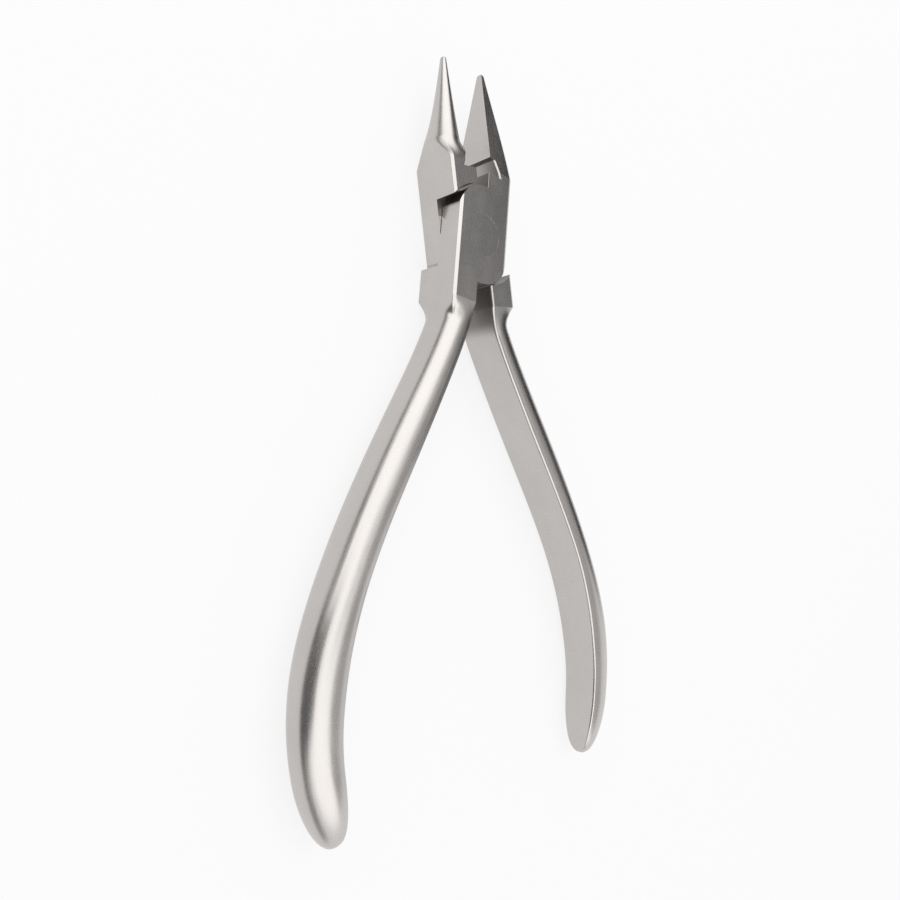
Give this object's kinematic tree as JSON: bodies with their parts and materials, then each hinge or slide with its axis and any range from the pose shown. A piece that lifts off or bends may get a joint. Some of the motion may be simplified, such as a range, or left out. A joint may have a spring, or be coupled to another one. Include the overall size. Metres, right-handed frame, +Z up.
{
  "type": "orthodontic pliers",
  "caption": "Bird-beak orthodontic pliers in satin steel: round cone beak, square pyramid beak, half-lap joint with a flush rivet and two bowed handles.",
  "frame": {"origin": "where the pivot's axis meets the surface that the pliers lie on", "axes": "+Y from the handles to the beak tips, +Z up along the pivot's axis, out of the face with the front plate, +X towards the pyramid beak"},
  "size_m": [0.0738, 0.1305, 0.0094],
  "materials": {
    "satin_steel": "satin stainless steel, fine grain along the arms, bright edges",
    "rivet_steel": "satin stainless steel, ground flush with the joint"
  },
  "bodies": {
    "front_half": {"front_arm": "satin_steel", "pivot_rivet": "rivet_steel"},
    "rear_half": {"rear_arm": "satin_steel"}
  },
  "joints": [
    {"name": "plier_pivot", "type": "hinge", "parent": "front_half", "child": "rear_half", "pos_m": [0, 0, 0.0047], "axis": [0, 0, 1], "range_deg": [-14.6, 25.4]}
  ]
}
